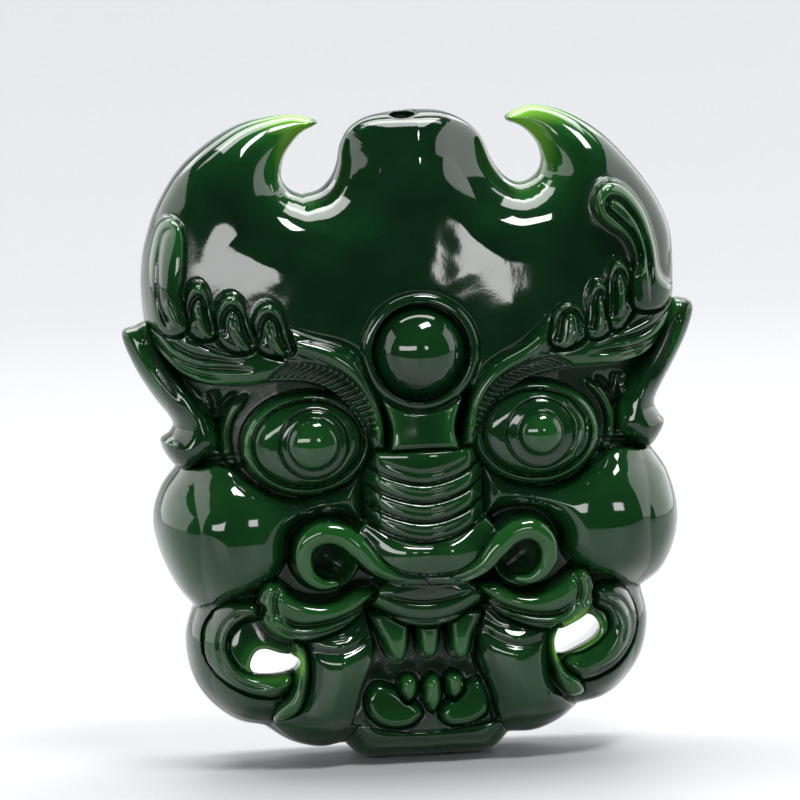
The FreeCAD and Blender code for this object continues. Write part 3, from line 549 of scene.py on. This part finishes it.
TUSK = {-1: [[(-16.0, 16.2), (-18.6, 15.6), (-20.4, 13.4), (-20.5, 10.8), (-19.0, 8.5), (-16.6, 7.1),
              (-14.0, 6.7), (-12.5, 7.4)],
             [(-12.5, 7.4), (-12.3, 8.4), (-12.8, 9.2), (-14.2, 9.1), (-16.0, 9.1), (-17.4, 9.9),
              (-18.2, 11.4), (-17.9, 12.9), (-16.8, 13.9), (-15.4, 14.2)],
             [(-15.4, 14.2), (-15.0, 15.4), (-16.0, 16.2)]],
        1: [[(16.2, 16.2), (18.2, 15.9), (19.7, 13.6), (19.7, 10.9), (18.3, 8.6), (16.2, 7.3), (14.2, 6.9),
             (12.9, 7.6)],
            [(12.9, 7.6), (12.5, 8.6), (13.0, 9.4), (14.4, 9.7), (16.0, 10.6), (16.9, 11.8), (16.7, 13.2),
             (15.7, 13.9)],
            [(15.7, 13.9), (15.3, 15.4), (16.2, 16.2)]]}
STEM = {-1: [(-12.4, 12.3), (-11.2, 11.6), (-10.9, 9.2), (-11.2, 7.2), (-12.0, 5.4), (-14.2, 4.3),
             (-14.1, 5.8), (-12.9, 7.3), (-12.4, 9.0), (-12.6, 10.6)],
        1: [(12.3, 12.6), (11.3, 11.8), (11.2, 9.4), (11.8, 7.0), (13.2, 5.5), (14.6, 5.8), (14.2, 7.2),
            (12.9, 8.2), (12.2, 9.6), (12.1, 11.0)]}
HOLE = {-1: [(-16.4, 10.0), (-15.9, 11.1), (-15.0, 11.4), (-13.5, 10.9), (-12.0, 10.5), (-12.1, 9.6),
             (-13.2, 9.1), (-14.8, 9.0), (-16.0, 9.2)],
        1: [(11.8, 10.3), (12.3, 9.6), (13.6, 9.9), (15.6, 11.0), (16.1, 12.0), (15.6, 12.9), (14.8, 13.1),
            (13.2, 12.4), (11.9, 11.4)]}
for side in (-1, 1):
    tusk = region(side_name("tusk_curl", side), TUSK[side], voxel=0.1, reach=2.0)
    pillow(tusk, 3.9, 6.0 - 0.05 * np.clip(side * X - 15, 0, 9) ** 1.5, 1.5)
    groove(mirrored([(15.9, 15.2), (18.2, 14.3), (19.2, 12.2), (18.7, 9.9), (16.8, 8.3), (14.2, 7.8)], side),
           0.24, 0.45, tusk)
    groove(mirrored([(15.8, 14.6), (17.6, 13.6), (18.4, 11.9), (17.9, 10.2)], side), 0.2, 0.3, tusk)
    stem = region(side_name("tusk_stem", side), STEM[side], voxel=0.1)
    pillow(stem, 4.3, 6.4, 0.8)

# ---- pearl ---------------------------------------------------------------------------------------

PEARL = (0.1, 38.3)
from_pearl = np.hypot(X - PEARL[0], Z - PEARL[1])
ring = region("pearl_rim", oval(*PEARL, 5.55, 5.55, count=60), voxel=0.12)
pillow(ring, 6.3, 7.2, 0.75)
pearl = region("forehead_pearl", oval(*PEARL, 4.45, 4.45, count=60), voxel=0.12)
ball = 4.7 + 4.4 * np.sqrt(np.clip(1 - (from_pearl / 4.42) ** 2, 0, 1))
pillow(pearl, ball, ball, 1.0)

height = blur(height, 0.05) + 0.006 * uneven(11, 0.7)

# ---- the outline of the stone --------------------------------------------------------------------

OUTLINE = [
    [(-9.4, 52.6), (-7.8, 53.0), (-6.7, 54.1), (-6.1, 55.5), (-5.8, 57.0), (-4.8, 58.6), (-2.9, 59.6),
     (0.5, 60.0), (3.7, 59.8), (6.0, 58.7), (7.4, 57.2), (8.3, 55.1), (9.4, 53.6), (10.8, 52.9),
     (12.2, 53.4), (12.9, 54.7), (12.5, 56.5), (11.3, 57.9), (9.8, 58.6)],
    [(9.8, 58.6), (9.6, 59.0), (10.3, 59.5)],
    [(10.3, 59.5), (12.3, 60.0), (15.2, 59.3), (18.3, 57.4), (21.0, 54.6), (23.3, 51.4), (24.6, 48.2),
     (24.8, 45.0), (24.6, 42.0), (24.0, 39.0), (22.9, 36.0), (22.0, 32.0), (22.2, 28.0)],
    [(22.2, 28.0), (23.7, 25.6), (24.5, 22.2), (24.1, 19.0), (22.8, 16.4), (20.9, 14.9)],
    [(20.9, 14.9), (21.4, 12.0), (20.7, 8.6), (18.9, 6.0), (16.9, 4.6), (14.5, 4.0)],
    [(14.5, 4.0), (12.8, 2.7), (10.4, 1.8), (7.9, 1.7)],
    [(7.9, 1.7), (6.8, 0.6), (5.5, 0.0)], [(5.5, 0.0), (-5.5, 0.0)], [(-5.5, 0.0), (-6.4, 0.5), (-7.4, 1.5)],
    [(-7.4, 1.5), (-9.8, 1.2), (-12.5, 1.9), (-14.8, 3.4)],
    [(-14.8, 3.4), (-17.4, 4.1), (-19.8, 6.0), (-21.3, 8.6), (-21.7, 12.0), (-20.9, 14.9)],
    [(-20.9, 14.9), (-22.4, 16.9), (-23.8, 20.1), (-24.3, 23.2), (-23.5, 25.9), (-22.0, 27.9)],
    [(-22.0, 27.9), (-21.9, 31.6), (-22.9, 35.0), (-24.0, 38.5), (-24.5, 42.0), (-24.6, 45.5), (-24.1, 48.7),
     (-22.7, 52.4), (-20.1, 56.0), (-15.5, 59.1), (-10.9, 60.0), (-8.6, 59.7)],
    [(-8.6, 59.7), (-7.7, 59.2), (-8.2, 58.8)],
    [(-8.2, 58.8), (-9.5, 58.1), (-10.9, 56.3), (-11.3, 54.3), (-10.5, 53.1), (-9.4, 52.6)]]
EAR = {-1: [(-24.3, 41.6), (-25.4, 41.3), (-26.7, 40.6), (-25.7, 37.6), (-24.1, 34.8), (-22.4, 32.4),
            (-22.6, 31.4), (-23.5, 30.6), (-22.9, 29.0), (-21.6, 27.9), (-19.4, 28.6), (-18.0, 30.4),
            (-18.5, 33.0), (-20.0, 35.2), (-22.2, 37.6), (-23.6, 40.0)],
       1: [(24.2, 41.5), (25.2, 41.7), (26.4, 41.0), (25.8, 38.6), (24.2, 35.6), (22.5, 32.6), (22.8, 31.2),
           (23.3, 30.4), (22.7, 29.0), (21.5, 28.0), (19.4, 28.7), (18.2, 30.4), (18.8, 33.0), (20.3, 35.4),
           (22.2, 37.8), (23.4, 39.8)]}

outline = signed(spline(OUTLINE, step=0.4), 10.0)
rim = field_from([(0, 60, 6.5), (6, 56, 6.5), (10.0, 52.5, 8.0), (9.5, 58.5, 2.6), (16, 58.5, 7.5),
                  (24, 50, 10.5), (24.5, 43, 9.5), (22, 32, 4.0), (24, 22, 6.0), (21.5, 10, 4.2),
                  (16, 4.4, 4.0), (10, 1.8, 3.6), (5, 0, 2.6), (0, 0, 2.6), (0, 50, 6.0)])
widest = blur(spread(outline, 2.6), 0.6)
rim = np.minimum(rim, np.maximum(0.95 * widest, 0.7))
deepest = smooth(outline / 2.0 - 0.4)
depth = outline * (1 - deepest) + blur(outline, 0.7) * deepest
horn = np.minimum(np.hypot(X + 7.9, Z - 59.1), np.hypot(X - 9.8, Z - 58.9))
flat_share = 0.30 + 0.70 * smooth((horn - 0.5) / 10.0)
holes = {side: signed(spline(HOLE[side], True, 0.2), 3.0) for side in (-1, 1)}
hole = np.maximum(holes[-1], holes[1])


class Field:
    """A stone of given relief, outline and back, as a distance that is negative inside."""

    def __init__(self, height, depth, rim, back, middle, share=None, holes=None):
        share = np.ones_like(X) if share is None else share
        front = (height + middle) * share
        slope = np.hypot(*np.gradient(front, GRID))
        self.maps = np.stack([depth, rim, front, (back - middle) * share, np.clip(slope, 0, 4),
                              np.full_like(X, -3.0) if holes is None else holes]).astype(np.float32)
        self.middle = middle

    def at(self, x, z):
        return sample(self.maps, x, z)

    def distance(self, maps, y, z):
        depth, rim, front, behind, slope, hole = maps
        u = y - self.middle
        ahead = u < 0
        reach = np.where(ahead, front, behind)
        u = u / reach
        radius = np.where(ahead, rim, np.minimum(rim, BACK_ROUND))
        t = 1 - np.minimum(depth / radius, 1)
        s = np.sqrt(t * t + u * u) + 1e-6
        steep = np.sqrt((u / reach) ** 2 * (1 + np.where(ahead, (u * slope) ** 2, 0)) + (t / radius) ** 2) / s
        return (s - 1) / np.maximum(steep, 1e-4)


def sample(maps, x, z):
    """The maps between the grid points at x, z."""
    i = np.clip((x - XS[0]) / GRID, 0, len(XS) - 1.001)
    j = np.clip((z - ZS[0]) / GRID, 0, len(ZS) - 1.001)
    i0, j0 = i.astype(int), j.astype(int)
    fi, fj = (i - i0).astype(np.float32), (j - j0).astype(np.float32)
    a, b = maps[:, i0, j0], maps[:, i0 + 1, j0]
    c, d = maps[:, i0, j0 + 1], maps[:, i0 + 1, j0 + 1]
    return a * (1 - fi) * (1 - fj) + b * fi * (1 - fj) + c * (1 - fi) * fj + d * fi * fj


def flare(y):
    """How much wider the piercings are towards the back."""
    return 0.15 * np.maximum(y + 3.5, 0)


def smooth_max(a, b, radius):
    """The larger of two distances, with the edge between them rounded."""
    gap = np.maximum(radius - np.abs(a - b), 0)
    return np.maximum(a, b) + gap * gap / (4 * radius)


# ---- meshes --------------------------------------------------------------------------------------

def mesh_of(name, function, low, high, voxel):
    """The closed surface of function(x, y, z) = 0 within a box."""
    voxel = voxel * COARSE
    axes = [np.arange(a - 2 * voxel, b + 2 * voxel, voxel) for a, b in zip(low, high)]
    block = function(axes[0][:, None, None], axes[1][None, :, None], axes[2][None, None, :])
    block = np.clip(block, -3 * voxel, 3 * voxel).astype(np.float32)
    for axis in range(3):
        ends = [slice(None)] * 3
        for end in (0, -1):
            ends[axis] = end
            block[tuple(ends)] = 3 * voxel
    grid = openvdb.FloatGrid(3 * voxel)
    grid.copyFromArray(block, tolerance=1e-6)
    points, quads = grid.convertToQuads(0.0)
    points = points * voxel + np.array([a[0] for a in axes])

    def at(p):
        return function(p[:, 0], p[:, 1], p[:, 2])

    def gradient(p, e):
        out = np.empty_like(p)
        for axis in range(3):
            step = np.zeros(3)
            step[axis] = e
            out[:, axis] = at(p + step) - at(p - step)
        return out / np.maximum(np.linalg.norm(out, axis=1, keepdims=True), 1e-9)

    for _ in range(2):
        move = np.clip(at(points), -0.3 * voxel, 0.3 * voxel)[:, None] * gradient(points, 0.4 * voxel)
        points = points - move
    normals = gradient(points, NORMAL_STEP)
    mesh = bpy.data.meshes.new(name)
    quads = np.asarray(quads)
    mesh.from_pydata((points / 1000).tolist(), [], quads.tolist())
    mesh.polygons.foreach_set("use_smooth", np.ones(len(quads), bool))
    mesh.update()
    mesh.normals_split_custom_set_from_vertices(normals.tolist())
    piece = bpy.data.objects.new(name, mesh)
    bpy.context.scene.collection.objects.link(piece)
    return piece, points, normals


# Maps of ridges, hollows, horns, piercings and outline that place the painted glow and painted shade.
sharp_part = np.clip(height - blur(height, 0.9), -1, 1)
wide_part = np.clip(height - blur(height, 2.2), -2, 2)
hints = np.stack([sharp_part, wide_part, horn, hole, outline]).astype(np.float32)


def paint(piece, points, normals, light=None):
    """Store per point, for the material, a painted glow where the stone is thin, painted shade in its
    hollows, and how hollow it is.
    """
    sharp, wide, tip, pierced, edge = sample(hints, points[:, 0], points[:, 2])
    face = smooth((0.3 - normals[:, 1]) / 0.8)
    # Painted glow: forward-facing sharp and broad ridges are made lighter green, as if lit through.
    painted_glow_and_shade = 0.14 * smooth(sharp / 0.9) * face + 0.22 * smooth(wide / 1.6) * face
    x = points[:, 0]
    # Painted glow on the horns, strongest near their tips and towards the outline.
    horns = np.where(x < 0, smooth((-7.4 - x) / 1.6), smooth((x - 8.9) / 1.6))
    painted_glow_and_shade += horns * (1 - smooth((tip - 0.5) / 12.0)) * (0.26 + 0.74 * (1 - smooth(edge / 3.4)))
    # Painted glow round the piercings, and painted light that makes the face below z 36 lighter green.
    painted_glow_and_shade += 0.5 * (1 - smooth(-pierced / 1.5)) + 0.12 * smooth((36 - points[:, 2]) / 4.0)
    # Extra painted light that a caller gives, as for the ears.
    if light is not None:
        painted_glow_and_shade += light
    # How hollow the surface is; it drives roughness and bump, and also darkens the colour as painted shade.
    hollow = smooth(-sharp / 0.7) * face
    # Painted shade: the hollows are made darker.
    painted_glow_and_shade -= 0.25 * hollow
    for label, values in (("painted_glow_and_shade", np.clip(painted_glow_and_shade, 0, 1)), ("hollow", hollow)):
        attribute = piece.data.attributes.new(label, "FLOAT", "POINT")
        attribute.data.foreach_set("value", values.astype(np.float32))


pieces = {}


def keep(piece, name, nodes):
    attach(piece, "root")
    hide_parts(*nodes)
    pieces[name] = piece


LAYER = 1.0        # how far back the pieces that wrap the rim reach, before they fade out
FADE = 1.2         # the length over which it does
TUCK = 0.07        # how far a surface is set under the one that covers it
BORE_RADIUS = 1.1
stone = Field(height, depth, rim, BACK, MID, flat_share, hole)
covered = np.full(X.shape, -2.5)
for entry in regions:
    covered = np.maximum(covered, np.clip(entry["shape"], -2.5, 2.5))

# The core, forehead, horns and crown are one polished surface.  Under the features it runs lower.
under = height - 1.0 * smooth(covered / 0.4)
border = smooth(1.3 - np.abs(covered) / 0.6)
under = blur(under, 0.16) * border + under * (1 - border)
skull_field = Field(under, depth, rim, BACK, MID, flat_share, hole)
cover_map = covered[None].astype(np.float32)
BORE_TOP, BORE_BACK = np.array([0.0, 0.5, 60.0]), np.array([0.0, 9.5, 54.6])


def bore(x, y, z):
    """Distance to the cord hole's wall, positive inside the hole."""
    line = (BORE_BACK - BORE_TOP) / np.linalg.norm(BORE_BACK - BORE_TOP)
    dx, dy, dz = x - BORE_TOP[0], y - BORE_TOP[1], z - BORE_TOP[2]
    t = dx * line[0] + dy * line[1] + dz * line[2]
    return BORE_RADIUS - np.sqrt(np.maximum(dx * dx + dy * dy + dz * dz - t * t, 0))


def skull(x, y, z):
    maps = skull_field.at(*np.broadcast_arrays(x, z))
    cover = sample(cover_map, *np.broadcast_arrays(x, z))[0]
    value = skull_field.distance(maps, y, z)
    value = value + TUCK * smooth(cover / 0.3) * smooth((LAYER + FADE / 2 - y) / FADE)
    value = smooth_max(value, maps[5] + flare(y), 0.5)
    return smooth_max(value, bore(x, y, z), 0.5)


def front_piece(entry, later):
    own = entry["shape"]
    for other in later:
        own = np.minimum(own, -other["shape"])
    own_map = own[None].astype(np.float32)
    base = blur(height, 0.4)[None].astype(np.float32)
    wraps = entry["rim"]

    def function(x, y, z):
        xz = np.broadcast_arrays(x, z)
        maps = stone.at(*xz)
        value = stone.distance(maps, y, z)
        if wraps:
            value = value + TUCK * smooth((y - LAYER + FADE / 2) / FADE)
            bottom = y - LAYER - FADE
        else:
            bottom = y + sample(base, *xz)[0] - 1.6
        value = smooth_max(value, maps[5] + flare(y), 0.4)
        return np.maximum(np.maximum(value, bottom), 0.01 - sample(own_map, *xz)[0])

    seen = own > 0
    x, z, h = X[seen], Z[seen], height[seen]
    low = (x.min(), -h.max(), z.min())
    high = (x.max(), LAYER + 1.3 if wraps else 1.7 - h.min(), z.max())
    return function, low, high


piece, points, normals = mesh_of("stone_core", skull, (-25.2, -7.4, -0.2), (25.2, 9.7, 60.4), 0.19)
paint(piece, points, normals)
keep(piece, "stone_core", ["back_core", "forehead", "horn_left", "horn_right", "crown"])
for index, entry in enumerate(regions):
    function, low, high = front_piece(entry, regions[index + 1:])
    piece, points, normals = mesh_of(entry["name"] + "_carved", function, low, high, entry["voxel"])
    paint(piece, points, normals)
    keep(piece, entry["name"], [entry["name"]])

for side in (-1, 1):
    ear_shape = signed(spline(EAR[side], True, 0.2), 4.0)
    ear_height = 4.9 - 0.26 * np.clip(side * X - 18.6, 0, 9) - 0.02 * (Z - 31)
    ear_rim = np.minimum(np.full_like(X, 3.2), np.maximum(0.95 * blur(spread(ear_shape, 1.2), 0.3), 0.5))
    fold = spline(mirrored([(25.0, 40.2), (23.6, 37.4), (22.0, 34.8), (21.2, 33.0)], side))
    window, d, s = near(fold, 2.4)
    ear_height[window] -= 0.35 * np.exp(-(d / 0.45) ** 2) * smooth(s / 0.1) * smooth((1 - s) / 0.4)
    ear_share = 0.45 + 0.55 * smooth((41.6 - Z) / 7.0)
    ear_field = Field(ear_height, ear_shape, ear_rim, 3.4, 0.2, ear_share)

    def ear(x, y, z):
        return ear_field.distance(ear_field.at(*np.broadcast_arrays(x, z)), y, z)

    inside = ear_shape > 0
    low = (X[inside].min(), -5.0, Z[inside].min())
    high = (X[inside].max(), 3.6, Z[inside].max())
    name = side_name("ear", side)
    piece, points, normals = mesh_of(name + "_carved", ear, low, high, 0.12)
    # Painted light on the ears: lighter towards the outer side as a painted reflection, and a brighter green
    # along the inner edge as painted glow.
    inner_edge_glow = 1 - smooth((side * points[:, 0] - 18.2 - 0.55 * np.clip(points[:, 2] - 33, 0, 9)) / 1.8)
    paint(piece, points, normals, 0.22 * smooth((side * points[:, 0] - 21.5) / 4.5) + 0.32 * inner_edge_glow)
    keep(piece, name, [name])

# ---- material ------------------------------------------------------------------------------------

jade = bpy.data.materials.new("jade_polished")
jade.use_nodes = True
tree = jade.node_tree
shader = tree.nodes["Principled BSDF"]


def node(kind, **inputs):
    made = tree.nodes.new(kind)
    for key, value in inputs.items():
        made.inputs[key.replace("_", " ")].default_value = value
    return made


place = tree.nodes.new("ShaderNodeTexCoord")
clouds = node("ShaderNodeTexNoise", Scale=190.0, Detail=5.0, Roughness=0.55)
tree.links.new(place.outputs["Object"], clouds.inputs["Vector"])
body = tree.nodes.new("ShaderNodeValToRGB")
body.color_ramp.elements[0].position, body.color_ramp.elements[0].color = 0.30, (0.0011, 0.0105, 0.0029, 1)
body.color_ramp.elements[1].position, body.color_ramp.elements[1].color = 0.72, (0.0026, 0.0245, 0.0062, 1)
tree.links.new(clouds.outputs["Fac"], body.inputs["Fac"])
# The painted glow attribute shifts the body colour towards bright yellow-green, as painted light through thin
# stone; where it is low, the colour stays the darker body colour.
painted_glow_and_shade = tree.nodes.new("ShaderNodeAttribute")
painted_glow_and_shade.attribute_name = "painted_glow_and_shade"
# Painted glow colours, from dark green to bright yellow-green.
glow = tree.nodes.new("ShaderNodeValToRGB")
glow.color_ramp.elements[0].position, glow.color_ramp.elements[0].color = 0.0, (0.0036, 0.032, 0.007, 1)
glow.color_ramp.elements[1].position, glow.color_ramp.elements[1].color = 1.0, (0.16, 0.40, 0.035, 1)
middle = glow.color_ramp.elements.new(0.5)
middle.color = (0.010, 0.075, 0.012, 1)
tree.links.new(painted_glow_and_shade.outputs["Fac"], glow.inputs["Fac"])
mix = tree.nodes.new("ShaderNodeMix")
mix.data_type = "RGBA"
blend = node("ShaderNodeMapRange", From_Max=0.35)
tree.links.new(painted_glow_and_shade.outputs["Fac"], blend.inputs["Value"])
tree.links.new(blend.outputs["Result"], mix.inputs["Factor"])
tree.links.new(body.outputs["Color"], mix.inputs["A"])
tree.links.new(glow.outputs["Color"], mix.inputs["B"])
tree.links.new(mix.outputs["Result"], shader.inputs["Base Color"])
hollow = tree.nodes.new("ShaderNodeAttribute")
hollow.attribute_name = "hollow"
wear = node("ShaderNodeTexNoise", Scale=900.0, Detail=3.0, Roughness=0.6)
tree.links.new(place.outputs["Object"], wear.inputs["Vector"])
rough = tree.nodes.new("ShaderNodeMath")
rough.operation = "MULTIPLY_ADD"
rough.inputs[1].default_value = 0.22
rough.inputs[2].default_value = 0.055
tree.links.new(hollow.outputs["Fac"], rough.inputs[0])
tree.links.new(rough.outputs["Value"], shader.inputs["Roughness"])
bump = node("ShaderNodeBump", Strength=0.35, Distance=0.0001)
relief = tree.nodes.new("ShaderNodeMath")
relief.operation = "ADD"
relief.inputs[1].default_value = 0.10
tree.links.new(hollow.outputs["Fac"], relief.inputs[0])
grain = tree.nodes.new("ShaderNodeMath")
grain.operation = "MULTIPLY"
tree.links.new(wear.outputs["Fac"], grain.inputs[0])
tree.links.new(relief.outputs["Value"], grain.inputs[1])
tree.links.new(grain.outputs["Value"], bump.inputs["Height"])
tree.links.new(bump.outputs["Normal"], shader.inputs["Normal"])
shader.inputs["IOR"].default_value = 1.55
shader.inputs["Subsurface Weight"].default_value = 0.25
shader.inputs["Subsurface Radius"].default_value = (0.35, 1.0, 0.4)
shader.inputs["Subsurface Scale"].default_value = 0.0012
for piece in pieces.values():
    piece.data.materials.clear()
    piece.data.materials.append(jade)

# ---- floor, light and camera ---------------------------------------------------------------------


def plain(name, colour, roughness):
    made = bpy.data.materials.new(name)
    made.use_nodes = True
    made.node_tree.nodes["Principled BSDF"].inputs["Base Color"].default_value = (*colour, 1)
    made.node_tree.nodes["Principled BSDF"].inputs["Roughness"].default_value = roughness
    return made


def backdrop():
    """A floor that sweeps up into a wall behind the object."""
    profile = [(-0.160, -0.06), (-0.160, -0.008), (-0.157, -0.002), (-0.150, 0.0), (0.45, 0.0)]
    turn = np.linspace(0.1, math.pi / 2, 12)
    profile += [(0.45 + 0.25 * math.sin(a), 0.25 - 0.25 * math.cos(a)) for a in turn]
    profile += [(0.70, 1.1)]
    points = [(x, y, z) for y, z in profile for x in (-1.2, 1.2)]
    faces = [(2 * k, 2 * k + 1, 2 * k + 3, 2 * k + 2) for k in range(len(profile) - 1)]
    mesh = bpy.data.meshes.new("backdrop")
    mesh.from_pydata(points, [], faces)
    mesh.polygons.foreach_set("use_smooth", [True] * len(faces))
    sweep = bpy.data.objects.new("backdrop", mesh)
    mesh.materials.append(plain("pale_floor", (0.36, 0.366, 0.377), 0.45))
    bpy.context.scene.collection.objects.link(sweep)


backdrop()


def softbox(name, position, target, width, tall, power):
    lamp = bpy.data.lights.new(name, "AREA")
    lamp.shape = "RECTANGLE"
    lamp.size, lamp.size_y, lamp.energy = width, tall, power
    made = bpy.data.objects.new(name, lamp)
    made.location = position
    made.rotation_euler = (Vector(target) - Vector(position)).to_track_quat("-Z", "Y").to_euler()
    bpy.context.scene.collection.objects.link(made)


softbox("softbox_right", (0.155, -0.60, 0.135), (0, 0, 0.035), 0.080, 0.080, 0.20)
softbox("softbox_left", (-0.33, -0.56, 0.15), (0, 0, 0.035), 0.50, 0.11, 1.5)
softbox("top_light", (0.0, 0.14, 0.50), (0, 0.0, 0.03), 0.56, 0.28, 3.8)
softbox("back_light", (0.0, 0.52, 0.46), (0, 0.0, 0.03), 0.90, 0.20, 1.9)
softbox("side_left", (-0.50, 0.20, 0.22), (0, 0.0, 0.03), 0.90, 0.45, 2.7)
softbox("side_right", (0.50, 0.20, 0.22), (0, 0.0, 0.03), 0.90, 0.45, 2.7)
softbox("front_light", (0.16, -0.26, 0.66), (0, -0.03, 0.0), 0.26, 0.14, 4.2)
softbox("wall_light", (0.0, 0.25, 0.75), (0, 0.70, 0.15), 1.2, 0.2, 4.0)

world = bpy.data.worlds.new("studio")
world.use_nodes = True
world.node_tree.nodes["Background"].inputs["Color"].default_value = (0.9, 0.95, 1.0, 1)
world.node_tree.nodes["Background"].inputs["Strength"].default_value = 0.05
bpy.context.scene.world = world

bpy.context.scene.view_settings.view_transform = "Standard"

AZIMUTH, ELEVATION, ROLL = math.radians(-6.3), math.radians(6.0), math.radians(1.96)
TARGET = Vector((-0.0012, 0.0, 0.0333))
DISTANCE, VIEW_WIDTH, SENSOR = 0.6, 0.07394, 36.0
level = math.cos(ELEVATION)
back = Vector((math.sin(AZIMUTH) * level, -math.cos(AZIMUTH) * level, math.sin(ELEVATION)))
right = Vector((0, 0, 1)).cross(back).normalized()
up = back.cross(right)
roll_cos, roll_sin = math.cos(ROLL), math.sin(ROLL)
right, up = roll_cos * right - roll_sin * up, roll_sin * right + roll_cos * up
camera = bpy.data.cameras.new("camera")
camera.sensor_width = SENSOR
camera.lens = SENSOR * DISTANCE / VIEW_WIDTH
camera.clip_start, camera.clip_end = 0.01, 20.0
viewer = bpy.data.objects.new("camera", camera)
facing = Matrix((right, up, back)).transposed().to_4x4()
viewer.matrix_world = Matrix.Translation(TARGET + DISTANCE * back) @ facing
bpy.context.scene.collection.objects.link(viewer)
bpy.context.scene.camera = viewer
